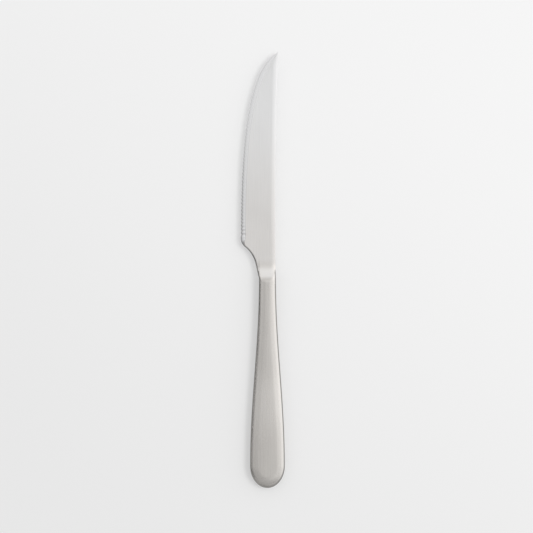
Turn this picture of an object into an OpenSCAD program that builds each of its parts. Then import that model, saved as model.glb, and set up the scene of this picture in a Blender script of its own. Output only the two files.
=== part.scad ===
// Table steak knife with a finely serrated blade and a hollow teardrop handle.
// X runs across the blade with the cutting edge on the negative side, Y runs along the knife
// with the tip on the positive side, and Z is the thickness. The handle lies flat on z = 0.

/* [Knife] */
// Length of the blade, from the mouth of the handle to the tip
blade_length = 125; // [110:1:140]
// Length of the handle, from its mouth to the butt
handle_length = 110; // [98:1:125]
// Thickness of the handle and of the neck
handle_thick = 8; // [7:0.25:9.5]

/* [Blade] */
// Distance from the centre line out to the cutting edge
edge_reach = 14.35; // [13:0.05:17]
// How far the spine lies inside the side of the neck
spine_set = 0.45; // [0.2:0.05:0.8]
// Rise of the spine at the tip
tip_lift = 1.6; // [0.4:0.1:4]
// Thickness of the blade from the neck to the heel
spine_thick = 2.4; // [1.8:0.1:3]
// Thickness of the spine at the tip
tip_thick = 1.2; // [0.8:0.1:1.6]
// Width of the blunt end of the tip
tip_blunt = 0.3; // [0.2:0.05:0.6]
// Width of the rounding along each side of the spine
spine_round = 1; // [0.6:0.1:1.6]
// Length over which the faces thin down towards the edge, from the end of the ramp
face_run = 25; // [15:1:40]

/* [Cutting edge] */
// Width of the ground bevel
bevel_width = 2.7; // [1.8:0.1:4]
// Thickness left at the sharpened edge
edge_thick = 0.2; // [0.1:0.05:0.4]
// Distance from tooth to tooth
tooth_pitch = 2; // [1.5:0.1:4]
// Depth of the hollow between two teeth
tooth_depth = 0.4; // [0.2:0.05:0.7]
// Plain edge between the heel and the first tooth
plain_heel = 1; // [0.5:0.5:6]
// Plain edge between the last tooth and the tip
plain_tip = 18; // [8:1:40]

/* [Heel] */
// Radius of the heel
heel_radius = 6; // [4:0.5:8]
// Radius of the hollow behind the heel
choil_radius = 16; // [12:0.5:22]
// Angle at which the blade widens as it leaves the neck
choil_flare = 13; // [8:1:18]
// Distance from the handle to where the blade starts to widen
choil_start = 3; // [2.5:0.5:5]
// Length of the straight side between the neck and the hollow
choil_flank = 8; // [6:0.5:10]
// Width of the chamfer on the blunt edge behind the heel
choil_chamfer = 0.4; // [0.2:0.05:0.6]

/* [Neck] */
// Width of the neck and of the mouth of the handle
neck_width = 9.1; // [8.4:0.1:10]
// Distance from the handle to the top of the ramp
ramp_start = 2; // [1.6:0.1:4]
// Length of the ramp from full thickness down to the blade
ramp_run = 12; // [9:0.5:14]

/* [Handle] */
// Greatest width of the handle
belly_width = 18.7; // [16:0.1:22]
// Length of the rounded butt
butt_length = 12; // [9.5:0.5:15]
// Thickness of the stamped shells
shell_wall = 0.8; // [0.6:0.05:1]

/* [Tang] */
// Length of the spigot inside the mouth of the handle
spigot_length = 7; // [5:0.5:10]
// Length of the tang behind the spigot
tang_length = 45; // [35:1:50]
// Width of the tang
tang_width = 4.6; // [4:0.1:5.2]
// Thickness of the tang
tang_thick = 2.4; // [1.8:0.1:3]
// Depth of the notches that lock the tang in the cement
notch_depth = 0.9; // [0.4:0.1:1.2]
// Length of each notch along the tang
notch_length = 5; // [3:0.5:6]

/* [Joining] */
// Clearance between the spigot and the shells
spigot_gap = 0.15; // [0.1:0.01:0.25]
// Clearance round cast cement and run braze
cast_gap = 0.05; // [0.03:0.01:0.1]
// Width of the bead of braze along the seam
bead_width = 0.9; // [0.6:0.05:1.2]
// Height of the bead where it meets the shells
bead_height = 1.5; // [1:0.1:2]
// Width of the braze ring in the groove of the spigot
ring_width = 1.2; // [0.8:0.1:2]
// Depth of that groove
ring_depth = 0.6; // [0.4:0.05:0.8]
// Distance from the mouth to the groove
ring_place = 2; // [1.5:0.1:2.5]
// Cement beyond the end of the tang
cement_cover = 6; // [3:0.5:10]

/* [Hidden] */

$fn = 96;
overrun = 1;

blade_grey = [0.83, 0.83, 0.84];
handle_grey = [0.72, 0.71, 0.69];
braze_yellow = [0.82, 0.76, 0.56];
cement_white = [0.80, 0.78, 0.72];

// The flat on top of the handle, as shares of its half width at the neck and at the belly
neck_flat_share = 0.16;
belly_flat_share = 0.52;
// How far the flat reaches into the butt
butt_flat_share = 0.45;
// The handle starts to swell this share of its length in front of its mouth
swell_lead_share = 0.03;

// The spine is lowest this share of the way along the blade
spine_low_share = 0.28;
// Handles of the curve of the cutting edge, as shares of its length and of its width
edge_straight_share = 0.52;
tip_lead_share = 0.893;
tip_across_share = 0.162;
// Thickness of the face at the bevel, and of the blunt edge behind the heel, against the spine
bevel_thick_share = 0.6;
blunt_thick_share = 0.7;
// Half thickness of the rounded spine at its outermost, against the whole thickness
spine_crest_share = 0.22;
// Near the tip the bevel and the rounding of the spine take these shares of the width
bevel_room_share = 0.35;
spine_room_share = 0.3;
// The plate of the blade starts inside the neck, this share of the way to where it widens
plate_root_share = 0.3;
// The ramp runs this share of the blade's thickness below its face
ramp_sink_share = 0.04;
// Places of the notches along the tang and length of its pointed end, as shares of its length
notch_place_shares = [0.3, 0.6];
tang_point_share = 0.1;

neck_half = neck_width / 2;
belly_half = belly_width / 2;
half_thick = handle_thick / 2;
blade_half = spine_thick / 2;
straight_run = handle_length - butt_length;
swell_lead = handle_length * swell_lead_share;
neck_flat = neck_half * neck_flat_share;
belly_flat = belly_half * belly_flat_share;
butt_flat = butt_length * butt_flat_share;
spigot_set = shell_wall + spigot_gap;

plate_root = choil_start * plate_root_share;
ramp_end = ramp_start + ramp_run;
ramp_sink = spine_thick * ramp_sink_share;
ramp_rise = half_thick - blade_half + ramp_sink;
ramp_radius = (ramp_run * ramp_run + ramp_rise * ramp_rise) / (2 * ramp_rise);

cement_from = spigot_length + cast_gap;
cement_to = spigot_length + tang_length + cement_cover;

side_steps = 20;
butt_steps = 22;
round_steps = 6;
path_steps = 2 * side_steps + butt_steps;
curve_steps = 60;
tooth_steps = 4;
flank_steps = 3;
choil_steps = 7;
heel_steps = 8;
tip_steps = 12;

function mix(a, b, k) = a + (b - a) * k;
function ease(k) = (1 - cos(180 * k)) / 2;
function unit(v) = v / norm(v);
function sum_to(v, n) = n == 0 ? 0 : v[n - 1] + sum_to(v, n - 1);
function bezier(c, k) = c[0] * pow(1 - k, 3) + 3 * c[1] * k * pow(1 - k, 2) + 3 * c[2] * k * k * (1 - k)
    + c[3] * pow(k, 3);
function bezier_way(c, k) = (c[1] - c[0]) * pow(1 - k, 2) + 2 * (c[2] - c[1]) * k * (1 - k)
    + (c[3] - c[2]) * k * k;

// Two triangles for every cell between neighbouring rows of points; each row closes on itself
function skin(rows, points) = [for (i = [0 : rows - 2], j = [0 : points - 1])
    let (a = i * points + j, b = i * points + (j + 1) % points, c = b + points, d = a + points)
    each [[a, c, b], [a, d, c]]];

// Handle: half width and half width of its flat at a distance from the mouth
function half_width(u) = mix(neck_half, belly_half, ease((u + swell_lead) / (straight_run + swell_lead)));
function flat_half(u) = half_width(u) * mix(neck_flat_share, belly_flat_share, ease(u / straight_run));

// Walk round the handle from one side of the mouth, round the butt, to the other side. The first
// and last places lie at the mouth, or past it by the lead.
function side_run(i, lead) = i % path_steps == 0
    ? -lead
    : straight_run * min(i, path_steps - i) / side_steps;
function side_sign(i) = i <= side_steps ? 1 : -1;
function in_butt(i) = i > side_steps && i < path_steps - side_steps;
function butt_turn(i) = 180 * (i - side_steps) / butt_steps;
function outline(i, inset, lead) = in_butt(i)
    ? [(belly_half - inset) * cos(butt_turn(i)), -straight_run - (butt_length - inset) * sin(butt_turn(i))]
    : [side_sign(i) * (half_width(side_run(i, lead)) - inset), -side_run(i, lead)];
function flat_outline(i, lead) = in_butt(i)
    ? [belly_flat * cos(butt_turn(i)), -straight_run - butt_flat * sin(butt_turn(i))]
    : [side_sign(i) * flat_half(side_run(i, lead)), -side_run(i, lead)];
// Place on the round between the seam, where turn is 0, and the flat, where it is 90
function round_point(i, turn, inset, lead) =
    let (p = mix(flat_outline(i, lead), outline(i, inset, lead), cos(turn)))
    [p.x, p.y, (half_thick - inset) * sin(turn)];

// Cutting edge: one curve from the heel to the tip, with a table that gives its place by length
flank_end = [-neck_half - choil_flank * tan(choil_flare), choil_start + choil_flank];
flank_in = [cos(choil_flare), sin(choil_flare)];
choil_centre = flank_end - choil_radius * flank_in;
heel_x = heel_radius - edge_reach;
choil_turn = acos((heel_x - choil_centre.x) / (choil_radius + heel_radius));
heel_y = choil_centre.y + (choil_radius + heel_radius) * sin(choil_turn);
edge_run = blade_length - heel_y;
spine_low = blade_length * spine_low_share;
function spine_at(y) = neck_half - spine_set
    + tip_lift * pow((y - spine_low) / (blade_length - spine_low), 2);
tip_x = spine_at(blade_length);
edge_curve = [
    [-edge_reach, heel_y],
    [-edge_reach, heel_y + edge_run * edge_straight_share],
    [mix(-edge_reach, tip_x, tip_across_share), heel_y + edge_run * tip_lead_share],
    [tip_x - tip_blunt, blade_length],
];
edge_points = [for (i = [0 : curve_steps]) bezier(edge_curve, i / curve_steps)];
edge_spans = [for (i = [1 : curve_steps]) norm(edge_points[i] - edge_points[i - 1])];
edge_table = [for (i = [0 : curve_steps]) [sum_to(edge_spans, i), i / curve_steps]];
edge_length = edge_table[curve_steps][0];
teeth = floor((edge_length - plain_heel - plain_tip) / tooth_pitch);
teeth_end = plain_heel + teeth * tooth_pitch;

// Stations of the blade's outline: place, inward direction, how far it is sharpened, depth of cut
function edge_station(s, cut) = let (k = lookup(s, edge_table), way = unit(bezier_way(edge_curve, k)))
    [bezier(edge_curve, k), [way.y, -way.x], 1, cut];
flank_stations = [for (i = [0 : flank_steps - 1]) let (y = mix(plate_root, flank_end.y, i / flank_steps))
    [[flank_end.x + (flank_end.y - y) * tan(choil_flare), y], flank_in, 0, 0]];
choil_stations = [for (i = [0 : choil_steps - 1]) let (a = mix(choil_flare, choil_turn, i / choil_steps))
    [choil_centre + choil_radius * [cos(a), sin(a)], [cos(a), sin(a)], 0, 0]];
heel_stations = [for (i = [0 : heel_steps - 1]) let (a = choil_turn * (1 - i / heel_steps))
    [[heel_x, heel_y] - heel_radius * [cos(a), sin(a)], [cos(a), sin(a)], ease(i / heel_steps), 0]];
tooth_stations = [for (i = [0 : teeth * tooth_steps - 1]) let (k = i / tooth_steps)
    edge_station(plain_heel + k * tooth_pitch, tooth_depth * abs(sin(180 * k)))];
tip_stations = [for (i = [0 : tip_steps]) edge_station(mix(teeth_end, edge_length, i / tip_steps), 0)];
stations = concat(flank_stations, choil_stations, heel_stations, [edge_station(0, 0)], tooth_stations,
    tip_stations);

// Section of the blade at one station, from the edge over the face and the spine and back below
function thick_at(y) = mix(spine_thick, tip_thick, max(0, (y - heel_y) / edge_run));
function blade_section(s) = let (
    p = s[0], way = s[1], sharp = s[2], back = spine_at(p.y), thick = thick_at(p.y),
    bevel = min(mix(choil_chamfer, bevel_width, sharp), (back - p.x) * bevel_room_share),
    round = min(spine_round, (back - p.x) * spine_room_share),
    edge = p + way * s[3], top = p + way * bevel,
    face = ease(min(1, max(0, p.y - ramp_end) / face_run)),
    top_z = thick * mix(1, bevel_thick_share, face) / 2,
    edge_z = mix(top_z * blunt_thick_share, edge_thick / 2, sharp))
    [[edge.x, edge.y, edge_z], [top.x, top.y, top_z], [back - round, p.y, thick / 2],
        [back, p.y, thick * spine_crest_share], [back, p.y, -thick * spine_crest_share],
        [back - round, p.y, -thick / 2], [top.x, top.y, -top_z], [edge.x, edge.y, -edge_z]];

module blade_plate() {
    sections = [for (s = stations) blade_section(s)];
    count = len(sections[0]);
    last = (len(sections) - 1) * count;
    polyhedron(
        points = [for (s = sections) each s],
        faces = concat(skin(len(sections), count),
            [for (j = [1 : count - 2]) [0, j, j + 1]],
            [for (j = [1 : count - 2]) [last, last + j + 1, last + j]]));
}

// Round bar section of the neck: a flat on top and below, and an elliptical round on each side
module bar_section(inset) {
    square([2 * neck_flat, handle_thick - 2 * inset], center = true);
    for (side = [-1, 1])
        translate([side * neck_flat, 0])
            scale([neck_half - neck_flat - inset, half_thick - inset])
                circle(r = 1);
}

module bar(inset, from, to) {
    translate([0, from, 0])
        rotate([-90, 0, 0])
            linear_extrude(height = to - from)
                bar_section(inset);
}

// Full thickness at the handle, ramped down to the blade above and below, and drawn in at the spine
module neck() {
    difference() {
        intersection() {
            bar(0, 0, ramp_end);
            translate([0, 0, -handle_thick])
                linear_extrude(height = 2 * handle_thick)
                    polygon([
                        [-neck_width, -overrun],
                        [neck_width, -overrun],
                        [neck_width, ramp_start],
                        [neck_half, ramp_start],
                        [spine_at(ramp_end) - spine_round, ramp_end],
                        [-neck_width, ramp_end],
                    ]);
        }
        for (side = [-1, 1])
            translate([-neck_width, ramp_end, side * (ramp_radius + blade_half - ramp_sink)])
                rotate([0, 90, 0])
                    cylinder(r = ramp_radius, h = 2 * neck_width);
    }
}

// Plan of the tang, with a V notch on each side at every notch place and a pointed end
module tang_plan() {
    half = tang_width / 2;
    point = tang_length * tang_point_share;
    end_y = -spigot_length - tang_length;
    notch_half = notch_length * (1 + overrun / notch_depth) / 2;
    difference() {
        polygon([
            [half, -spigot_length + overrun],
            [half, end_y + point],
            [half - notch_depth, end_y],
            [notch_depth - half, end_y],
            [-half, end_y + point],
            [-half, -spigot_length + overrun],
        ]);
        for (share = notch_place_shares, side = [-1, 1])
            translate([side * half, -spigot_length - tang_length * share])
                polygon([
                    [side * overrun, notch_half],
                    [-side * notch_depth, 0],
                    [side * overrun, -notch_half],
                ]);
    }
}

module tang() {
    translate([0, 0, -tang_thick / 2])
        linear_extrude(height = tang_thick)
            tang_plan();
}

module ring_groove(outer_inset) {
    difference() {
        bar(outer_inset, -ring_place - ring_width, -ring_place);
        bar(spigot_set + ring_depth, -ring_place - ring_width - overrun, overrun - ring_place);
    }
}

module spigot() {
    difference() {
        bar(spigot_set, -spigot_length, overrun);
        ring_groove(0);
    }
}

// Form of the whole handle, drawn in by the inset and run out past the mouth by the lead
module handle_form(inset, lead) {
    rows = 2 * round_steps + 1;
    top = rows - 1;
    half = path_steps / 2;
    function at(i, j) = i * rows + j;
    function strip(a, b, c, d) = b == c ? [[a, b, d]] : [[a, b, d], [b, c, d]];
    polyhedron(
        points = [for (i = [0 : path_steps], j = [0 : rows - 1])
            round_point(i, 90 * (j / round_steps - 1), inset, lead)],
        faces = concat(
            [for (i = [0 : path_steps - 1], j = [0 : top - 1]) each
                [[at(i, j), at(i + 1, j + 1), at(i, j + 1)], [at(i, j), at(i + 1, j), at(i + 1, j + 1)]]],
            [for (i = [0 : half - 1]) let (c = path_steps - i - 1, d = path_steps - i) each concat(
                strip(at(i, top), at(i + 1, top), at(c, top), at(d, top)),
                strip(at(d, 0), at(c, 0), at(i + 1, 0), at(i, 0)))],
            [concat([for (j = [0 : top]) at(0, j)], [for (j = [top : -1 : 0]) at(path_steps, j)])]));
}

// Room across the whole handle between two distances from the mouth, from a height upwards
module slab(from, to, bottom) {
    translate([-belly_width, -to, bottom])
        cube([2 * belly_width, to - from, handle_thick]);
}

// One stamped half of the handle, open at the mouth and along the seam at mid thickness
module shell() {
    difference() {
        intersection() {
            handle_form(0, 0);
            slab(-overrun, handle_length + overrun, 0);
        }
        handle_form(shell_wall, overrun);
    }
}

// Bead along the inside of the seam, from behind the spigot round the butt and back. Room widens
// it on every side, which gives the groove that the cement has for it.
module seam_bead(room) {
    wall = shell_wall + cast_gap - 2 * room;
    turn = asin((bead_height / 2 + 3 * room) / (half_thick - wall));
    first = ceil(cement_from * side_steps / straight_run);
    sections = [for (i = [first : path_steps - first])
        let (inner = outline(i, shell_wall + cast_gap + bead_width + room, 0))
        [round_point(i, turn, wall, 0), [inner.x, inner.y, 0], round_point(i, -turn, wall, 0)]];
    last = 3 * (len(sections) - 1);
    polyhedron(
        points = [for (s = sections) each s],
        faces = concat(skin(len(sections), 3), [[0, 1, 2]], [[last, last + 2, last + 1]]));
}

// Cast plug that fills the hollow behind the spigot and grips the tang
module cement_plug() {
    difference() {
        intersection() {
            handle_form(shell_wall + cast_gap, overrun);
            slab(cement_from, cement_to, -half_thick);
        }
        seam_bead(cast_gap);
        tang();
    }
}

// Puts the middle of the knife over the origin and the handle on z = 0
module place() {
    translate([(edge_reach - belly_half) / 2, (handle_length - blade_length) / 2, half_thick])
        children();
}

module blade() {
    color(blade_grey) place() {
        blade_plate();
        neck();
        spigot();
        tang();
    }
}

module handle_front_shell() {
    color(handle_grey) place()
        shell();
}

module handle_back_shell() {
    color(handle_grey) place()
        mirror([0, 0, 1])
            shell();
}

module seam_braze() {
    color(braze_yellow) place()
        seam_bead(0);
}

module mouth_braze() {
    color(braze_yellow) place()
        ring_groove(shell_wall + cast_gap);
}

module tang_cement() {
    color(cement_white) place()
        cement_plug();
}

blade();
handle_front_shell();
handle_back_shell();
seam_braze();
mouth_braze();
tang_cement();
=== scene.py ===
import math
import bmesh
import bpy
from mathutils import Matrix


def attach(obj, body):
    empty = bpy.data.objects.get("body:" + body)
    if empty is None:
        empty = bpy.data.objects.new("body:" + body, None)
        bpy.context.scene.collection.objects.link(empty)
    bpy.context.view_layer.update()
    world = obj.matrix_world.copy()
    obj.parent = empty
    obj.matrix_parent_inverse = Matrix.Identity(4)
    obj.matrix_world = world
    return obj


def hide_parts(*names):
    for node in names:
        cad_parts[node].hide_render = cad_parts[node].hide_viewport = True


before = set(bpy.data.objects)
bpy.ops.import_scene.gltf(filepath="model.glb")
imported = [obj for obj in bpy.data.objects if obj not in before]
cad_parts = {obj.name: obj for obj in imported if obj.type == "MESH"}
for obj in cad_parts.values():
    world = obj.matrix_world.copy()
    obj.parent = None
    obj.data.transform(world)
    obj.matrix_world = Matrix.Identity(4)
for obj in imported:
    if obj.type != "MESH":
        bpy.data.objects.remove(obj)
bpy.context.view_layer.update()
print("frame loaded:", ", ".join(sorted(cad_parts)))

# Shapes are worked out in millimetres on the knife's own axes, as in its drawing: x across with the
# cutting edge on the minus side, y from the handle's mouth to the tip, z up from mid thickness.
knifeAxes = {
    "shift": (2.5, -7.5, 4.0),  # where the mouth of the handle lies in the shared frame
    "metres": 0.001,
    "join": 0.0005,  # points nearer than this become one
}


def mix(a, b, share):
    return a + (b - a) * share


def clamp(value):
    return max(0.0, min(1.0, value))


def ease(value):
    return (1 - math.cos(math.pi * clamp(value))) / 2


quarter = 90  # degrees


def turn(degrees):
    return math.cos(math.radians(degrees)), math.sin(math.radians(degrees))


def softMin(a, b, reach):
    share = clamp(0.5 + 0.5 * (b - a) / reach)
    return mix(b, a, share) - reach * share * (1 - share)


def softMax(a, b, reach):
    return -softMin(-a, -b, reach)


def growRows(rows, marks):
    # draws the first row as a chain of edges, then extrudes the chain from row to row; a point is
    # x, y, z and a value for each mark, which the finishes read, and it keeps its place in the row
    bm = bmesh.new()
    place = bm.verts.layers.int.new("place")
    layers = [bm.verts.layers.float.new(mark) for mark in marks]

    def settle(vert, row, step):
        vert.co = row[step][:3]
        vert[place] = step
        for layer, value in zip(layers, row[step][3:]):
            vert[layer] = value

    tail = bm.verts.new()
    settle(tail, rows[0], 0)
    chain = []
    for step in range(1, len(rows[0])):
        made = bmesh.ops.extrude_vert_indiv(bm, verts=[tail])
        tail = made["verts"][0]
        settle(tail, rows[0], step)
        chain += made["edges"]
    for row in rows[1:]:
        made = bmesh.ops.extrude_edge_only(bm, edges=chain)["geom"]
        chain = [part for part in made if isinstance(part, bmesh.types.BMEdge)]
        for part in made:
            if isinstance(part, bmesh.types.BMVert):
                settle(part, row, part[place])
    bm.verts.index_update()
    count = len(bm.verts)

    def order(part):
        ends = [vert.index for vert in part.verts]
        return max(ends) * count + min(ends)

    # extrusion leaves these in another order each time
    bm.edges.sort(key=order)
    bm.faces.sort(key=order)
    return bm


def mirrorForm(bm, axis):
    bmesh.ops.mirror(bm, geom=bm.verts[:] + bm.edges[:] + bm.faces[:], axis=axis,
                     merge_dist=knifeAxes["join"])
    bmesh.ops.remove_doubles(bm, verts=bm.verts, dist=knifeAxes["join"])
    bmesh.ops.dissolve_degenerate(bm, edges=bm.edges, dist=knifeAxes["join"])


def makePiece(name, bm, node, finish, crease):
    for edge in bm.edges:
        edge.smooth = edge.smooth and edge.calc_face_angle(math.pi) < math.radians(crease)
    for face in bm.faces:
        face.smooth = True
    bmesh.ops.translate(bm, verts=bm.verts, vec=knifeAxes["shift"])
    bmesh.ops.scale(bm, verts=bm.verts, vec=[knifeAxes["metres"]] * 3)
    mesh = bpy.data.meshes.new(name)
    bm.to_mesh(mesh)
    bm.free()
    piece = bpy.data.objects.new(name, mesh)
    bpy.context.scene.collection.objects.link(piece)
    piece.data.materials.append(finish)
    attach(piece, "root")
    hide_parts(node)
    print(name, "made:", len(mesh.polygons), "faces")


class Wire:
    # an output socket; plain maths on it adds Math nodes
    def __init__(self, tree, socket):
        self.tree = tree
        self.socket = socket

    def maths(self, operation, first, second):
        return self.tree.node("Math", {"operation": operation}, {0: first, 1: second})

    def __add__(self, other):
        return self.maths("ADD", self, other)

    def __radd__(self, other):
        return self.maths("ADD", other, self)

    def __sub__(self, other):
        return self.maths("SUBTRACT", self, other)

    def __rsub__(self, other):
        return self.maths("SUBTRACT", other, self)

    def __mul__(self, other):
        return self.maths("MULTIPLY", self, other)

    def __rmul__(self, other):
        return self.maths("MULTIPLY", other, self)

    def __abs__(self):
        return self.maths("ABSOLUTE", self, 0)

    def between(self, low, high):
        # 0 at low, 1 at high, eased in between
        return self.tree.node("MapRange", {"interpolation_type": "SMOOTHSTEP"},
                              {"Value": self, "From Min": low, "From Max": high})


class Finish:
    # the node tree of one material, or of the world
    def __init__(self, owner):
        owner.use_nodes = True
        self.owner = owner
        self.nodes = owner.node_tree.nodes
        self.links = owner.node_tree.links
        self.nodes.clear()

    def node(self, kind, settings=None, sockets=None, output=0):
        made = self.nodes.new("ShaderNode" + kind)
        for name, value in (settings or {}).items():
            setattr(made, name, value)
        for name, value in (sockets or {}).items():
            if isinstance(value, Wire):
                self.links.new(value.socket, made.inputs[name])
            else:
                made.inputs[name].default_value = value
        return Wire(self, made.outputs[output] if made.outputs else None)

    def place(self):
        return self.node("TexCoord", {}, {}, "Object")

    def mark(self, name):
        return self.node("Attribute", {"attribute_name": name}, {}, "Fac")

    def axes(self, vector):
        split = self.node("SeparateXYZ", {}, {"Vector": vector}).socket.node
        return [Wire(self, output) for output in split.outputs]

    def blend(self, share, first, second):
        # colours: 6 and 7 are the colour sockets of a Mix node, 2 its colour output
        return self.node("Mix", {"data_type": "RGBA"}, {0: share, 6: first, 7: second}, 2)

    def noise(self, vector, cells, octaves, rough, turned=(0, 0, 0)):
        placed = self.node("Mapping", {}, {"Vector": vector, "Scale": cells,
                                           "Rotation": [math.radians(a) for a in turned]})
        return self.node("TexNoise", {}, {"Vector": placed, "Scale": 1.0, "Detail": octaves,
                                          "Roughness": rough})

    def bump(self, height, depth):
        return self.node("Bump", {}, {"Height": height, "Strength": 1.0, "Distance": depth})

    def surface(self, **sockets):
        named = {name.replace("_", " "): value for name, value in sockets.items()}
        shader = self.node("BsdfPrincipled", {}, named)
        self.node("OutputMaterial", {}, {"Surface": shader})
        return self.owner


def newFinish(name):
    return Finish(bpy.data.materials.new(name))


# What the two steels share. A noise is given as its cells per metre across, along and through,
# then its octaves and how rough they make it
satinSteel = {
    "middle": 0.5,  # of every noise
    "toneReach": (0.1, 0.9),
    "scratchHalf": 0.012,  # a scratch shows where its noise is this near the middle
    "scratchDepth": 0.4,  # against the depth of the grain
    "spots": ((160, 120, 160), 1.0, 0.5),  # scratches show only where this one is high
    "spotReach": (0.56, 0.66),
}
# Satin steel of the handle: fine lines along its length, soft clouds, a few stray scratches
handleSteel = {
    "light": (0.730, 0.703, 0.674, 1),
    "dark": (0.639, 0.615, 0.586, 1),
    "buttLight": (0.716, 0.690, 0.658, 1),  # the colour is a little darker towards the butt
    "buttDark": (0.625, 0.601, 0.571, 1),
    "butt": (-0.12, -0.045),
    "belly": (0.84, 0.812, 0.78, 1),  # and is painted a little brighter on the belly, a painted highlight
    "bellyHighlightShare": 0.4,
    "bellyFront": (-0.066, -0.05),
    "bellyBack": (-0.094, -0.074),
    "round": (0.93, 0.895, 0.86, 1),  # hands and cloths have polished the round of the sides, which is also painted brighter as a painted sheen
    "roundSheenShare": 0.75,
    "roundReach": (0.1, 0.8),
    "roundButt": (-0.1175, -0.104),  # but not the end of the butt
    "side": (0.22, 0.213, 0.204, 1),  # painted shade along the ground seam, darker than the flats
    "seamShadeShare": 0.9,
    "seamShadeLow": 0.35,  # less of it shows at the height of the seam itself
    "seamShadeMiddle": 0.004,
    "seamShadeHalf": 0.0018,
    "lines": ((4200, 38, 4200), 3.0, 0.6),
    "fineLines": ((11000, 90, 11000), 2.0, 0.5),
    "fineShare": 0.35,
    "clouds": ((70, 28, 70), 3.0, 0.5),
    "grainGain": 1.3,
    "cloudGain": 0.25,
    "scratches": ((1500, 24, 1500), 1.0, 0.4),
    "scratchTurns": (14, -21),
    "rough": 0.27,
    "roughLines": 0.16,
    "roughClouds": 0.10,
    "roughScratches": 0.06,
    "seamGloss": 0.13,
    "grooveDepth": 0.000022,
}


def scratchLines(finish, place, values):
    # thin lines where stretched noise passes its middle, broken up into stray marks
    s = satinSteel
    total = 0
    for angle in values["scratchTurns"]:
        field = finish.noise(place, *values["scratches"], (0, 0, angle))
        spots = finish.noise(place, *s["spots"], (0, 0, -angle))
        line = 1 - abs(field - s["middle"]).between(0.0, s["scratchHalf"])
        total = line * spots.between(*s["spotReach"]) + total
    return total


def steelGrain(finish, place, values):
    fine = values["fineShare"]
    return (finish.noise(place, *values["lines"]) * (1 - fine)
            + finish.noise(place, *values["fineLines"]) * fine)


def steelShade(grain, clouds, values):
    # share of the light tone; what is taken off keeps the middle of the noises in the middle
    grainGain, cloudGain = values["grainGain"], values["cloudGain"]
    off = (grainGain + cloudGain - 1) * satinSteel["middle"]
    return (grain * grainGain + clouds * cloudGain - off).between(*satinSteel["toneReach"])


def steelRough(grain, clouds, values):
    middle = satinSteel["middle"]
    return (values["rough"] + (grain - middle) * values["roughLines"]
            + (clouds - middle) * values["roughClouds"])


def steelBump(finish, grain, marks, values):
    return finish.bump(grain - marks * satinSteel["scratchDepth"], values["grooveDepth"])


def seamShade(height):
    # how much of the seam's painted shade shows at this height
    s = handleSteel
    away = abs(height - s["seamShadeMiddle"]).between(0.0, s["seamShadeHalf"])
    return (away * (1 - s["seamShadeLow"]) + s["seamShadeLow"]) * s["seamShadeShare"]


def handleFinish():
    s = handleSteel
    finish = newFinish("satinHandleSteel")
    place = finish.place()
    along, height = finish.axes(place)[1:]
    seam = finish.mark("seam")
    grain = steelGrain(finish, place, s)
    clouds = finish.noise(place, *s["clouds"])
    marks = scratchLines(finish, place, s)
    shade = steelShade(grain, clouds, s)
    colour = finish.blend(along.between(*s["butt"]),
                          finish.blend(shade, s["buttDark"], s["buttLight"]),
                          finish.blend(shade, s["dark"], s["light"]))
    # painted highlight on the belly
    belly = along.between(*s["bellyBack"]) * (1 - along.between(*s["bellyFront"]))
    colour = finish.blend(belly * s["bellyHighlightShare"], colour, s["belly"])
    # the polished round, painted brighter: a painted sheen
    polishAndSheen = finish.mark("round").between(*s["roundReach"]) * along.between(*s["roundButt"])
    colour = finish.blend(polishAndSheen * s["roundSheenShare"], colour, s["round"])
    # painted shade: the band along the seam drawn dark
    colour = finish.blend(seam * seamShade(height), colour, s["side"])
    rough = steelRough(grain, clouds, s) - seam * s["seamGloss"] + marks * s["roughScratches"]
    return finish.surface(Base_Color=colour, Metallic=1.0, Roughness=rough,
                          Normal=steelBump(finish, grain, marks, s))


# Steel of the forging: ground along the blade, ground across on the bevel, and finished with the
# handle's warmer satin where the neck runs into it. Stretches are places along the shared frame
forgingSteel = {
    "light": (0.945, 0.945, 0.946, 1),
    "dark": (0.85, 0.85, 0.851, 1),
    "heelLight": (0.875, 0.855, 0.835, 1),  # the blade is painted darker towards the heel, a painted shade, and warmer
    "heelDark": (0.78, 0.76, 0.74, 1),
    "heel": (0.012, 0.095),
    "bevelLight": (0.96, 0.96, 0.965, 1),
    "bevelDark": (0.87, 0.87, 0.876, 1),
    "bevelGrind": (0.3, 0.7),  # levels of the grind mark over which the bevel's finish comes in
    "edge": (0.20, 0.20, 0.204, 1),  # painted shade along the cutting edge, with its dark burr
    "edgeLoss": 0.75,  # how much less of it shows at the tip, over this stretch
    "edgeFade": (0.02, 0.09),
    "lineShare": 0.3,  # how much of it shows along the grind line
    "lineGrind": 0.5,  # level of the grind mark on that line
    "lineReach": (0.1, 0.5),
    "choilShadeShare": 0.45,  # and on the dull chamfer of the choil, as painted shade
    "warm": (0.001, 0.0065),  # the neck's warmer satin ends over this stretch
    "rampHighlightLight": (0.945, 0.925, 0.905, 1),  # the crest of its ramp is painted brighter, a painted highlight
    "rampHighlightDark": (0.885, 0.865, 0.845, 1),
    "rampStart": (-0.0052, -0.0030),
    "rampEnd": (-0.001, 0.0035),
    "roundWear": (0.02, 0.3),  # the polished round of the handle, with its painted sheen, runs on along the neck
    "roundEnd": (0.001, 0.006),
    "seamShadeReach": (0.3, 0.45),  # and so does the painted shade of its ground seam, low on the neck's sides
    "seamShadeEnd": (-0.0015, 0.001),
    "lines": ((5200, 30, 5200), 3.0, 0.6),
    "fineLines": ((13000, 60, 13000), 2.0, 0.5),
    "fineShare": 0.4,
    "bevelLines": ((500, 7000, 500), 2.0, 0.5),
    "clouds": ((60, 18, 60), 3.0, 0.5),
    "grainGain": 1.3,
    "cloudGain": 0.5,
    "scratches": ((1300, 20, 1300), 1.0, 0.4),
    "scratchTurns": (9, -16),
    "rough": 0.30,
    "bevelRough": 0.24,
    "roughLines": 0.12,
    "roughClouds": 0.08,
    "roughScratches": 0.05,
    "wearGloss": 0.06,
    "grooveDepth": 0.000016,
}


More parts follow.
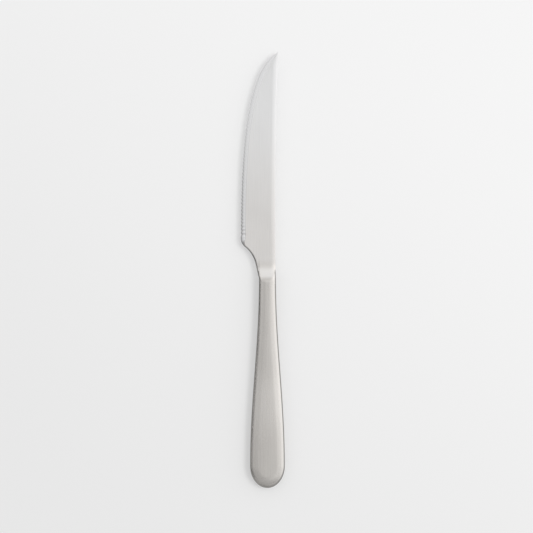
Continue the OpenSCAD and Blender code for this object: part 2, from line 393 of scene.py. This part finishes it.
def forgingFinish():
    s = forgingSteel
    finish = newFinish("groundBladeSteel")
    place = finish.place()
    along, height = finish.axes(place)[1:]
    grind, wearAndShade, dull = [finish.mark(name) for name in ("grind", "wearAndShade", "dull")]
    lines = steelGrain(finish, place, s)
    across = finish.noise(place, *s["bevelLines"])
    clouds = finish.noise(place, *s["clouds"])
    marks = scratchLines(finish, place, s)
    onBevel = grind.between(*s["bevelGrind"])
    grain = lines + (across - lines) * onBevel
    shade = steelShade(grain, clouds, s)
    # painted shade: the face drawn darker towards the heel
    face = finish.blend(1 - along.between(*s["heel"]), finish.blend(shade, s["dark"], s["light"]),
                        finish.blend(shade, s["heelDark"], s["heelLight"]))
    colour = finish.blend(onBevel, face, finish.blend(shade, s["bevelDark"], s["bevelLight"]))
    line = 1 - abs(grind - s["lineGrind"]).between(*s["lineReach"])
    fade = 1 - along.between(*s["edgeFade"]) * s["edgeLoss"]
    # painted shade: the cutting edge and the choil's chamfer drawn dark, with a line along the
    # grind line
    dark = (line * s["lineShare"] + wearAndShade * grind) * fade + dull * s["choilShadeShare"]
    colour = finish.blend(dark, colour, s["edge"])
    warm = finish.blend(shade, handleSteel["dark"], handleSteel["light"])
    colour = finish.blend(along.between(*s["warm"]), warm, colour)
    # painted highlight: the ramp's crest drawn brighter
    rampHighlight = finish.blend(shade, s["rampHighlightDark"], s["rampHighlightLight"])
    ramp = along.between(*s["rampStart"]) * (1 - along.between(*s["rampEnd"]))
    colour = finish.blend(ramp * (1 - dull), colour, rampHighlight)
    # the handle's polished round and its painted sheen run on along the neck
    polishAndSheen = wearAndShade.between(*s["roundWear"]) * (1 - along.between(*s["roundEnd"])) * (1 - dull)
    colour = finish.blend(polishAndSheen * handleSteel["roundSheenShare"], colour, handleSteel["round"])
    # painted shade of the seam, low on the neck's sides
    seam = wearAndShade.between(*s["seamShadeReach"]) * (1 - along.between(*s["seamShadeEnd"]))
    colour = finish.blend(seam * seamShade(height), colour, handleSteel["side"])
    rough = steelRough(grain, clouds, s) + (s["bevelRough"] - s["rough"]) * onBevel
    rough = rough - wearAndShade * s["wearGloss"] + marks * s["roughScratches"]
    return finish.surface(Base_Color=colour, Metallic=1.0, Roughness=rough,
                          Normal=steelBump(finish, grain, marks, s))


# Braze and cement lie inside the handle, where only a cut knife shows them
brazeMetal = {
    "light": (0.80, 0.66, 0.36, 1),
    "dark": (0.56, 0.42, 0.22, 1),
    "toneReach": (0.3, 0.7),
    "ripples": ((900, 350, 900), 3.0, 0.55),
    "rippleDepth": 0.00004,
    "rough": 0.3,
    "roughRipples": 0.25,
}
cementCast = {
    "light": (0.72, 0.70, 0.64, 1),
    "dark": (0.50, 0.47, 0.42, 1),
    "toneReach": (0.35, 0.65),
    "grit": ((2600, 2600, 2600), 2.0, 0.6),
    "gritDepth": 0.00006,
    "clouds": ((240, 240, 240), 3.0, 0.5),
    "cloudShare": 0.4,
    "rough": 0.75,
    "roughClouds": 0.2,
}


def brazeFinish():
    s = brazeMetal
    finish = newFinish("runBraze")
    ripples = finish.noise(finish.place(), *s["ripples"])
    colour = finish.blend(ripples.between(*s["toneReach"]), s["dark"], s["light"])
    return finish.surface(Base_Color=colour, Metallic=1.0,
                          Roughness=s["rough"] + ripples * s["roughRipples"],
                          Normal=finish.bump(ripples, s["rippleDepth"]))


def cementFinish():
    s = cementCast
    finish = newFinish("castCement")
    place = finish.place()
    grit = finish.noise(place, *s["grit"])
    clouds = finish.noise(place, *s["clouds"])
    shade = grit * (1 - s["cloudShare"]) + clouds * s["cloudShare"]
    colour = finish.blend(shade.between(*s["toneReach"]), s["dark"], s["light"])
    return finish.surface(Base_Color=colour, Roughness=s["rough"] + clouds * s["roughClouds"],
                          Normal=finish.bump(grit, s["gritDepth"]))


# Side of the handle and of the neck: a low wall at the seam, a round, then a wide arc that
# levels out at the flat on top
sideForm = {
    "halfThick": 4.0,
    "lean": 49.0,  # steepest slope of the wide arc
    "corner": 0.5,
    "cornerSteps": 4,
    "arcSteps": 12,
}
sideSteps = 1 + sideForm["cornerSteps"] + sideForm["arcSteps"]


def sideSizes(reach, tall):
    # radius of the wide arc, and height of the wall, for a side that reaches this far from the flat
    out, up = turn(quarter - sideForm["lean"])
    radius = (reach - sideForm["corner"] * (1 - out)) / out
    return radius, tall - radius * (1 - up) - sideForm["corner"] * up


def sideProfile(reach, tall):
    # from the seam to the flat: distance from the flat as a share of the reach, and height
    s = sideForm
    radius, wall = sideSizes(reach, tall)
    points = [(1.0, 0.0), (1.0, wall)]
    for step in range(1, s["cornerSteps"] + 1):
        up, out = turn(mix(quarter, s["lean"], step / s["cornerSteps"]))
        points.append((1 - s["corner"] * (1 - out) / reach, wall + s["corner"] * up))
    for step in range(1, s["arcSteps"] + 1):
        up, out = turn(s["lean"] * (1 - step / s["arcSteps"]))
        points.append((radius * out / reach, tall - radius * (1 - up)))
    return points


# Handle: a stamped shell, flat on top; the other shell is its mirror image
handleForm = {
    "mouthHalf": 4.55,
    "bellyHalf": 9.35,
    "straight": 98.0,  # from the mouth to where the butt starts to turn
    "butt": 12.0,
    "swellLead": 3.3,  # the sides have begun to swell this far before the mouth
    "mouthFlat": 0.16,  # half width of the flat against the whole, at the mouth and at the belly
    "bellyFlat": 0.52,
    "buttFlat": 0.45,
    "wall": 0.8,
    "straightSteps": 98,
    "buttSteps": 40,
    "crownLean": 2.8,  # the flat is crowned; its rim slopes this much once past the mouth
    "crownLead": 25.0,
    "flatSteps": 6,
    "seamReach": 0.72,  # the ground seam and its painted shade show this far in from the outline
    "seamFade": 0.3,  # fades out over this
    "seamButt": 0.45,  # and reaches this much further at the end of the butt
    "roundRun": 3.0,  # the polish and the painted sheen of the round fade out over this
    "crease": 40,
}


def handleRow(outer, flat, level):
    # from the middle of the outside over the gentle crown and down the round to the seam, across
    # the rim, and back up the inside; a point's marks are those of the seam and of the round
    s = handleForm
    reach = math.dist(flat, outer)
    slope = math.tan(math.radians(s["crownLean"])) * ease(-outer[1] / s["crownLead"])
    seamReach = s["seamReach"] + s["seamButt"] * clamp((-outer[1] - s["straight"]) / s["butt"])

    def fall(x):
        return slope * (x * x / (2 * level) if x < level else x - level / 2)

    def skin(inset):
        tall = sideForm["halfThick"] - inset
        row = []
        for share, z in sideProfile(reach - inset, tall):
            share *= 1 - inset / reach
            inside = reach * (1 - share)
            row.append((mix(flat[0], outer[0], share), mix(flat[1], outer[1], share), z,
                        clamp((seamReach - inside) / s["seamFade"]),
                        clamp(1 - inside / s["roundRun"])))
        for step in range(1, s["flatSteps"] + 1):
            row.append((flat[0] * (1 - step / s["flatSteps"]), flat[1], tall, 0.0, 0.0))
        return [(x, y, z - fall(x) if z else z, *marks) for x, y, z, *marks in row]

    return skin(0.0)[::-1] + skin(s["wall"])


def shellForm(under):
    s = handleForm
    rows = []
    for step in range(s["straightSteps"] + 1):
        back = s["straight"] * step / s["straightSteps"]
        half = mix(s["mouthHalf"], s["bellyHalf"],
                   ease((back + s["swellLead"]) / (s["straight"] + s["swellLead"])))
        level = half * mix(s["mouthFlat"], s["bellyFlat"], ease(back / s["straight"]))
        rows.append(handleRow((half, -back), (level, -back), level))
    level = s["bellyHalf"] * s["bellyFlat"]
    for step in range(1, s["buttSteps"] + 1):
        across, down = turn(quarter * step / s["buttSteps"])
        rows.append(handleRow((s["bellyHalf"] * across, -s["straight"] - s["butt"] * down),
                              (level * across, -s["straight"] - s["butt"] * s["buttFlat"] * down),
                              level))
    bm = growRows(rows, ["seam", "round"])
    mirrorForm(bm, "X")
    bmesh.ops.holes_fill(bm, edges=[edge for edge in bm.edges if edge.is_boundary], sides=0)
    bmesh.ops.recalc_face_normals(bm, faces=bm.faces)
    if under:
        bmesh.ops.scale(bm, verts=bm.verts, vec=(1, 1, -1))
        bmesh.ops.reverse_faces(bm, faces=bm.faces)
    return bm


# Blade, neck, spigot and tang are one forging, grown from the tang's end to the tip
neckForm = {
    "half": 4.55,
    "flat": 0.728,
    "rampStart": 2.0,
    "rampRun": 12.0,
    "rampSink": 0.096,  # the ramp ends this far below the blade's face, so that they blend
    "crestSoft": 0.7,  # how far the polishing wheel rounded the crest of the ramp
    "rampCorner": 0.3,
    "rampCrown": (3.4, 0.35),  # the ramp falls away to the right over this run, by this much
    "footSoft": 0.22,
    "filletReach": 0.35,  # small fillet where the plate of the blade leaves the neck's side
    "filletRise": 0.2,
    "spread": (11.5, 16.5),  # rows of points leave the ramp and spread evenly over the blade
    "step": 0.25,
}
bladeForm = {
    "length": 125.0,
    "edgeReach": 14.35,  # from the knife's middle line to the straight part of the edge
    "spineSet": 0.45,  # how far the spine lies inside the neck's side where it is lowest
    "spineLow": 0.28,  # which is at this share of the length
    "tipLift": 1.6,  # and how much it rises from there to the tip
    "spineThick": 2.4,
    "tipThick": 1.2,
    "tipBlunt": 0.3,
    "crownRun": 2.4,  # the face falls away towards the spine over this stretch, then turns down
    "crownDrop": 0.24,
    "spineCorner": 0.15,
    "spineRoom": 0.35,  # near the tip the crown takes no more of the width than this
    "faceRun": 25.0,  # over this stretch the face thins towards the grind line
    "bevelThick": 0.6,  # to this share
    "bevelWidth": 2.7,
    "bevelRoom": 0.35,  # and the bevel no more than this
    "edgeThick": 0.2,
    "edgeStraight": 0.52,  # the handles of the edge's curve
    "tipLead": 0.893,
    "tipAcross": 0.162,
    "toothPitch": 2.0,
    "toothDepth": 0.4,
    "toothFacet": 0.3,  # slope of the hollow ground behind each tooth's gullet
    "plainHeel": 1.0,
    "plainTip": 18.0,
    "toothSteps": 8,
    "tipSteps": 44,
    "heelRadius": 6.0,
    "heelSteps": 16,
    "choilRadius": 16.0,
    "choilFlare": 13.0,  # degrees by which the flank before the choil leans out
    "choilStart": 3.0,
    "choilFlank": 8.0,
    "choilSteps": 26,
    "choilChamfer": 0.75,
    "choilLead": 1.5,  # the choil's dull chamfer grows while the flank runs out this far
    "leastBevel": 0.02,
    "bluntThick": 0.5,  # share of the thickness that the chamfer leaves
    "dullGrowth": 1.5,  # the chamfer is dull a little before it has its full width
    "dullRise": 4.0,  # and a quarter of the way in from its rim
    "wearPower": 4,  # how closely the wear and its painted shade keep to the cutting edge
    "rowLean": 3,  # how late a row of points bends towards its place on the edge
    "curveSteps": 800,
    "crease": 24,
}
tangForm = {
    "half": 2.3,
    "halfThick": 1.2,
    "spigot": 7.0,
    "spigotSet": 0.95,  # how far it is drawn in, to fit into the handle's mouth
    "ringPlace": 2.0,
    "ringWidth": 1.2,
    "ringDepth": 0.6,
    "length": 45.0,
    "notches": (0.3, 0.6),
    "notchHalf": 2.5,
    "notchDepth": 0.9,
    "point": 4.5,
}
# steps of a row: up the spine's side, over the top, down the edge's side, out over the plate, bevel
rowSteps = {"side": sideSteps, "top": 6, "wall": sideSteps, "plate": 6, "bevel": 10}
grindPlace = rowSteps["side"] + rowSteps["top"] + rowSteps["wall"] + rowSteps["plate"]
rampEnd = neckForm["rampStart"] + neckForm["rampRun"]


def spineAt(y):
    s = bladeForm
    low = s["length"] * s["spineLow"]
    return neckForm["half"] - s["spineSet"] + s["tipLift"] * ((y - low) / (s["length"] - low)) ** 2


def choilPlace():
    # where the straight flank ends, the choil's centre, how far it turns, and the heel's place
    s = bladeForm
    flare = turn(s["choilFlare"])
    slope = math.tan(math.radians(s["choilFlare"]))
    flankEnd = (-neckForm["half"] - s["choilFlank"] * slope, s["choilStart"] + s["choilFlank"])
    centre = [flankEnd[i] - s["choilRadius"] * flare[i] for i in range(2)]
    heelX = s["heelRadius"] - s["edgeReach"]
    both = s["choilRadius"] + s["heelRadius"]
    choilTurn = math.degrees(math.acos((heelX - centre[0]) / both))
    return flankEnd, centre, choilTurn, (heelX, centre[1] + both * turn(choilTurn)[1])


flankEnd, choilCentre, choilTurn, heelCentre = choilPlace()
heelY = heelCentre[1]


def edgeCurve():
    # the cutting edge without its teeth, a cubic curve from the heel to the tip
    s = bladeForm
    run = s["length"] - heelY
    tipX = spineAt(s["length"])
    corners = [(-s["edgeReach"], heelY), (-s["edgeReach"], heelY + run * s["edgeStraight"]),
               (mix(-s["edgeReach"], tipX, s["tipAcross"]), heelY + run * s["tipLead"]),
               (tipX - s["tipBlunt"], s["length"])]
    curve = []
    for step in range(s["curveSteps"] + 1):
        k = step / s["curveSteps"]
        shares = ((1 - k) ** 3, 3 * k * (1 - k) ** 2, 3 * k * k * (1 - k), k ** 3)
        curve.append([sum(share * corner[i] for share, corner in zip(shares, corners))
                      for i in range(2)])
    return curve


def toothPlaces(length):
    # distances along the cutting edge, and how deep the gullets between the teeth are there
    s = bladeForm
    teeth = int((length - s["plainHeel"] - s["plainTip"]) / s["toothPitch"])
    places = [(0.0, 0.0), (s["plainHeel"] / 2, 0.0)]
    for step in range(teeth * s["toothSteps"]):
        k = step / s["toothSteps"]
        places.append((s["plainHeel"] + k * s["toothPitch"],
                       s["toothDepth"] * abs(math.sin(math.pi * k))))
    teethEnd = s["plainHeel"] + teeth * s["toothPitch"]
    for step in range(s["tipSteps"] + 1):
        places.append((mix(teethEnd, length, step / s["tipSteps"]), 0.0))
    return places


def outlineStations():
    # places along the heel side and the edge: point, direction inwards, how sharp, depth of cut
    s = bladeForm
    flare = turn(s["choilFlare"])
    slope = math.tan(math.radians(s["choilFlare"]))
    stations = []
    steps = round(flankEnd[1] / neckForm["step"])
    for step in range(1, steps):
        y = flankEnd[1] * step / steps
        x = min(-neckForm["half"], flankEnd[0] + (flankEnd[1] - y) * slope)
        stations.append((x, y, *flare, 0.0, 0.0))
    for step in range(s["choilSteps"]):
        way = turn(mix(s["choilFlare"], choilTurn, step / s["choilSteps"]))
        stations.append((choilCentre[0] + s["choilRadius"] * way[0],
                         choilCentre[1] + s["choilRadius"] * way[1], *way, 0.0, 0.0))
    for step in range(s["heelSteps"]):
        way = turn(choilTurn * (1 - step / s["heelSteps"]))
        stations.append((heelCentre[0] - s["heelRadius"] * way[0], heelY - s["heelRadius"] * way[1],
                         *way, ease(step / s["heelSteps"]), 0.0))
    curve = edgeCurve()
    lengths = [0.0]
    for a, b in zip(curve, curve[1:]):
        lengths.append(lengths[-1] + math.dist(a, b))
    span = 0
    for place, cut in toothPlaces(lengths[-1]):
        while span < len(curve) - 2 and lengths[span + 1] < place:
            span += 1
        a, b = curve[span], curve[span + 1]
        step = lengths[span + 1] - lengths[span]
        share = clamp((place - lengths[span]) / step)
        way = ((b[0] - a[0]) / step, (b[1] - a[1]) / step)
        stations.append((mix(a[0], b[0], share), mix(a[1], b[1], share), way[1], -way[0], 1.0, cut))
    return stations


def rampAt(y):
    s = neckForm
    foot = bladeForm["spineThick"] / 2 - s["rampSink"]
    if y > rampEnd:
        return foot - (y - rampEnd) * s["rampSink"]
    rise = sideForm["halfThick"] - foot
    radius = (s["rampRun"] ** 2 + rise ** 2) / (2 * rise)
    return foot + radius - math.sqrt(radius ** 2 - (rampEnd - y) ** 2)


def cornerDrop(inside, corner):
    # how far a rounded edge has fallen at this distance inside the outline
    return corner - math.sqrt(corner ** 2 - (corner - clamp(inside / corner) * corner) ** 2)


def crownDrop(inside, run, drop):
    return drop * (1 - clamp(inside / run)) ** 2


def neckReach(sign, y):
    # from the flat to the neck's side; on the spine's side it runs into the spine of the blade
    s = neckForm
    if sign < 0:
        return s["half"] - s["flat"]
    return mix(s["half"], spineAt(rampEnd), clamp((y - s["rampStart"]) / s["rampRun"])) - s["flat"]


def neckHeight(x, y, crown):
    # the neck's rounded bar, cut down by the ramp, whose right side bends as the spine does
    s, corner = sideForm, sideForm["corner"]
    reach = neckReach(x, y)
    radius, wall = sideSizes(reach, s["halfThick"])
    over = min(reach, max(0.0, abs(x) - neckForm["flat"]))
    if over > radius * turn(quarter - s["lean"])[0]:
        side = wall + math.sqrt(max(0.0, corner ** 2 - (over - reach + corner) ** 2))
    else:
        side = s["halfThick"] - radius + math.sqrt(radius ** 2 - over ** 2)
    cut = rampAt(y) - cornerDrop(reach - over, neckForm["rampCorner"])
    if x > 0:
        share = ease((y - neckForm["rampStart"]) / neckForm["rampRun"])
        fall = [mix(a, b, share) for a, b in zip(neckForm["rampCrown"], crown)]
        cut -= crownDrop(reach - over, *fall)
    return softMin(side, cut, neckForm["crestSoft"])


def sideWearAndShade(step):
    # wear mark of the neck's sides, from the seam up to the flat; it also places painted shade and
    # sheen
    return (1 - step / rowSteps["side"]) ** 2


def bladeRow(station):
    # points are marked with how far they lie on the bevel, how worn the steel is (which also places
    # painted shade and sheen), and how dull it is
    s = bladeForm
    n = neckForm
    x, y, inX, inY, sharp, cut = station
    back = spineAt(y)
    half = mix(s["spineThick"], s["tipThick"], clamp((y - heelY) / (s["length"] - heelY))) / 2
    room = (back - x) * s["spineRoom"]
    run = min(s["crownRun"], room)
    crown = (run, s["crownDrop"] * run / s["crownRun"])
    corner = s["spineCorner"] * run / s["crownRun"]
    topZ = half * mix(1, s["bevelThick"], ease((y - rampEnd) / s["faceRun"]))
    shoulder = back - run
    wallX = -n["half"]
    grown = 1.0 if sharp else clamp((wallX - x) / s["choilLead"])
    bevel = min(mix(s["choilChamfer"], s["bevelWidth"], sharp), (back - x) * s["bevelRoom"])
    bevel *= max(grown, s["leastBevel"])
    edgeZ = mix(topZ, mix(topZ * s["bluntThick"], s["edgeThick"] / 2, sharp), grown)
    right = max(back, n["flat"] + neckReach(1, y)) if y < rampEnd else back
    grindX, grindY = x + inX * bevel, y + inY * bevel
    spread = ease((y - n["spread"][0]) / (n["spread"][1] - n["spread"][0]))
    if grindX > wallX and spread == 0:
        grindX, grindY = wallX, y

    def face(px):
        level = mix(half, topZ, clamp((shoulder - px) / (shoulder - grindX)))
        return level - crownDrop(back - px, *crown) - cornerDrop(back - px, corner)

    def height(px):
        if y > n["spread"][1]:
            return face(px)
        return softMax(face(px), neckHeight(px, y, crown), n["footSoft"])

    wallTop = height(wallX) - face(wallX)
    fillet = min(n["filletRise"], wallTop / 2) * clamp((wallX - grindX) / n["filletReach"])
    fillet *= 1 - spread

    def plateHeight(px):
        return face(px) + fillet * (1 - clamp((wallX - px) / n["filletReach"])) ** 2

    # the same columns of points run from the neck's rounded side into the crown of the spine
    profile = [point[0] for point in sideProfile(neckReach(1, y), sideForm["halfThick"])]
    row = []
    for step in range(rowSteps["side"] + 1):
        inner = max(0, step - 1 - sideForm["cornerSteps"]) / sideForm["arcSteps"]
        bend = turn(quarter * clamp((step - 1) / sideForm["cornerSteps"]))[0]
        px = mix(right - (right - n["flat"]) * (1 - profile[step]),
                 right - corner * (1 - bend) - (run - corner) * inner, spread)
        row.append((px, y, height(px) if step else 0.0, 0.0, sideWearAndShade(step), 0.0))
    # then over the top, down the neck's left side and out over the plate to the grind line
    across = rowSteps["top"] + rowSteps["wall"] + rowSteps["plate"]
    profile = [point[0] for point in sideProfile(neckReach(-1, y), sideForm["halfThick"])]
    for step in range(1, across + 1):
        up = step - rowSteps["top"]
        py = y
        if up <= 0:
            px = mix(n["flat"], -n["flat"], step / rowSteps["top"])
        elif up <= rowSteps["wall"]:
            px = -n["flat"] - neckReach(-1, y) * profile[rowSteps["wall"] - up]
        else:
            share = (up - rowSteps["wall"]) / rowSteps["plate"]
            px, py = mix(wallX, grindX, share ** 2), mix(y, grindY, share)
        even = step / across
        px = mix(px, mix(shoulder, grindX, even), spread)
        py = mix(py, mix(y, grindY, even ** s["rowLean"]), spread)
        onPlate = up >= rowSteps["wall"] and (spread == 0 or px < wallX)
        low = (1 - grown) * clamp(up / rowSteps["wall"]) ** 2
        row.append((px, py, plateHeight(px) if onPlate else height(px), 0.0, low, 0.0))
    # and down the bevel, which the gullets of the teeth cut back, to the edge
    choil = (1 - sharp) * clamp(grown * s["dullGrowth"])
    for step in range(1, rowSteps["bevel"] + 1):
        share = step / rowSteps["bevel"]
        depth = mix(bevel, cut, share)
        flat = mix(edgeZ, topZ, depth / bevel)
        hollow = edgeZ + s["toothFacet"] * (depth - cut) if cut > 0 else flat
        edgeX, edgeY = x + inX * cut, y + inY * cut
        px, py = mix(grindX, edgeX, share), mix(grindY, edgeY, share)
        row.append((px, py, min(flat, hollow), sharp, max(share ** s["wearPower"], 1 - grown),
                    choil * clamp(share * s["dullRise"])))
    row.append((edgeX, edgeY, 0.0, sharp, 1.0, choil))
    return row


def barRow(y, inset):
    # section of the neck's bar, drawn in by the inset
    flat = neckForm["flat"]
    reach = neckForm["half"] - flat - inset
    tall = sideForm["halfThick"] - inset
    side = [(flat + reach * share, y, z, 0.0, sideWearAndShade(step), 0.0)
            for step, (share, z) in enumerate(sideProfile(reach, tall))]
    top = [(flat * (1 - 2 * step / rowSteps["top"]), y, tall, 0.0, 0.0, 0.0)
           for step in range(1, rowSteps["top"])]
    row = side + top + [(-px, *rest) for px, *rest in reversed(side)]
    return row + [row[-1]] * (rowSteps["plate"] + rowSteps["bevel"] + 1)


def tangRow(y, half):
    # plain rectangle with as many points as the other rows
    tall = tangForm["halfThick"]
    side, top, wall = rowSteps["side"], rowSteps["top"], rowSteps["wall"]
    places = [(half, tall * step / side) for step in range(side + 1)]
    places += [(half * (1 - 2 * step / top), tall) for step in range(1, top + 1)]
    places += [(-half, tall * (1 - step / wall)) for step in range(1, wall + 1)]
    row = [(x, y, z, 0.0, 0.0, 0.0) for x, z in places]
    return row + [row[-1]] * (rowSteps["plate"] + rowSteps["bevel"] + 1)


def forgingForm():
    # the tang with its notches, the spigot with its groove for the ring, then neck and blade
    t = tangForm
    end = -t["spigot"] - t["length"]
    narrow = t["half"] - t["notchDepth"]
    rows = [tangRow(end, narrow), tangRow(end + t["point"], t["half"])]
    for share in reversed(t["notches"]):
        middle = -t["spigot"] - t["length"] * share
        rows += [tangRow(middle - t["notchHalf"], t["half"]), tangRow(middle, narrow),
                 tangRow(middle + t["notchHalf"], t["half"])]
    rows += [tangRow(-t["spigot"], t["half"]), barRow(-t["spigot"], t["spigotSet"])]
    inner = t["spigotSet"] + t["ringDepth"]
    ringEnd = -t["ringPlace"] - t["ringWidth"]
    rows += [barRow(ringEnd, t["spigotSet"]), barRow(ringEnd, inner),
             barRow(-t["ringPlace"], inner), barRow(-t["ringPlace"], t["spigotSet"]),
             barRow(0, t["spigotSet"]), barRow(0, 0)]
    rows += [bladeRow(station) for station in outlineStations()]
    bm = growRows(rows, ["grind", "wearAndShade", "dull"])
    mirrorForm(bm, "Z")
    ends = [edge for edge in bm.edges if edge.is_boundary]
    bmesh.ops.holes_fill(bm, edges=ends, sides=0)
    bmesh.ops.recalc_face_normals(bm, faces=bm.faces)
    place = bm.verts.layers.int["place"]
    for edge in bm.edges:  # the grind line stays crisp
        if all(vert[place] == grindPlace and vert.co.y > rampEnd for vert in edge.verts):
            edge.smooth = False
    return bm


satin = handleFinish()
makePiece("handleFront", shellForm(False), "handle_front_shell", satin,
          handleForm["crease"])
makePiece("handleBack", shellForm(True), "handle_back_shell", satin,
          handleForm["crease"])
makePiece("bladeForging", forgingForm(), "blade", forgingFinish(),
          bladeForm["crease"])
braze = brazeFinish()
inside = {"seam_braze": braze, "mouth_braze": braze, "tang_cement": cementFinish()}
for name, finish in inside.items():
    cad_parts[name].data.materials.clear()
    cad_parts[name].data.materials.append(finish)
print("finishes on the brazed seam, the mouth ring and the cement")


# White table under the knife; its colour is painted a little brighter towards the lamp, a painted
# light
table = {
    "size": 8.0,
    "cells": 4,
    "far": (0.937, 0.937, 0.937, 1),
    "near": (0.845, 0.845, 0.845, 1),
    "lampSide": (0.45, 0.85),  # direction across the table in which its painted light grows brighter
    "reach": 0.2,
    "whiteLevel": 1.0,
    "glow": 0.38,  # share of the white that shows without the lamps, which keeps the shadow soft
}


def tableTop():
    s = table
    bm = bmesh.new()
    bmesh.ops.create_grid(bm, x_segments=s["cells"], y_segments=s["cells"], size=s["size"] / 2)
    mesh = bpy.data.meshes.new("tableTop")
    bm.to_mesh(mesh)
    bm.free()
    floor = bpy.data.objects.new("tableTop", mesh)
    bpy.context.scene.collection.objects.link(floor)
    finish = newFinish("whiteTable")
    x, y = finish.axes(finish.place())[:2]
    share = (x * s["lampSide"][0] + y * s["lampSide"][1]).between(-s["reach"], s["reach"])
    colour = finish.blend(share, s["near"], s["far"])
    lit = finish.node("BsdfDiffuse", {}, {"Color": colour})
    white = finish.node("Emission", {}, {"Color": colour, "Strength": s["whiteLevel"]})
    rays = [finish.node("LightPath", {}, {}, ray) for ray in ("Is Camera Ray", "Is Glossy Ray")]
    shader = finish.node("MixShader", {}, {0: (rays[0] + rays[1]) * s["glow"], 1: lit, 2: white})
    finish.node("OutputMaterial", {}, {"Surface": shader})
    mesh.materials.append(finish.owner)


tableTop()
print("table top made")

# Light: an even pale room, a little brighter beyond the tip, with a bright panel on the right, a
# dark card low on the left and a fainter one low beyond the butt, and one soft lamp
room = {
    "even": 0.527,
    "rise": 0.26,  # from the butt's end of the room to the tip's
    "riseReach": 0.3,
    "panel": 0.355,
    "panelReach": (-0.3, 0.6),  # the panel comes up between these shares of full right
    "card": 1.0,
    "cardReach": (-0.7, 0.1),
    "cardTop": 0.55,
    "width": (0.3, 0.75),  # the panel and the card fade out between these, towards the tip
    "buttWidth": (0.45, 0.8),  # and towards the butt
    "buttCard": 0.5,
    "buttReach": (0.5, 1.0),
    "buttSide": (-0.2, 0.5),
}
lamp = {
    "place": (0.75, 0.05, 1.30),
    "size": 0.6,
    "power": 5.45,
}


def roomLight():
    s = room
    world = bpy.data.worlds.new("paleRoom")
    bpy.context.scene.world = world
    finish = Finish(world)
    way = finish.node("TexCoord", {}, {}, "Generated")
    x, y, z = finish.axes(way)
    back = 0 - y
    band = (1 - y.between(*s["width"])) * (1 - back.between(*s["buttWidth"]))
    panel = x.between(*s["panelReach"]) * band * s["panel"]
    cards = (1 - x.between(*s["cardReach"])) * band * s["card"]
    cards = cards + back.between(*s["buttReach"]) * (1 - x.between(*s["buttSide"])) * s["buttCard"]
    cards = cards * (1 - z.between(0.0, s["cardTop"]))
    level = s["even"] + y.between(-s["riseReach"], s["riseReach"]) * s["rise"] + panel
    shader = finish.node("Background", {}, {"Color": (1, 1, 1, 1), "Strength": level * (1 - cards)})
    finish.node("OutputWorld", {}, {"Surface": shader})


def softLamp():
    s = lamp
    data = bpy.data.lights.new("softLamp", "AREA")
    data.shape = "DISK"
    data.size = s["size"]
    data.energy = s["power"]
    made = bpy.data.objects.new("softLamp", data)
    made.location = s["place"]
    made.rotation_mode = "QUATERNION"
    made.rotation_quaternion = made.location.to_track_quat("Z", "Y")
    made.visible_glossy = False  # the steel mirrors the room alone
    bpy.context.scene.collection.objects.link(made)


roomLight()
softLamp()
print("room and lamp made")

camera = {
    "lens": 110.0,
    "sensor": 36.0,
    "middle": (0.00199, 0.00194),
    "height": 0.883,
    "nearest": 0.05,
}


def lookDown():
    s = camera
    data = bpy.data.cameras.new("overhead")
    data.lens = s["lens"]
    data.sensor_width = s["sensor"]
    data.clip_start = s["nearest"]
    made = bpy.data.objects.new("overhead", data)
    made.location = (*s["middle"], s["height"])
    bpy.context.scene.collection.objects.link(made)
    bpy.context.scene.camera = made


lookDown()
bpy.context.scene.view_settings.view_transform = "Standard"
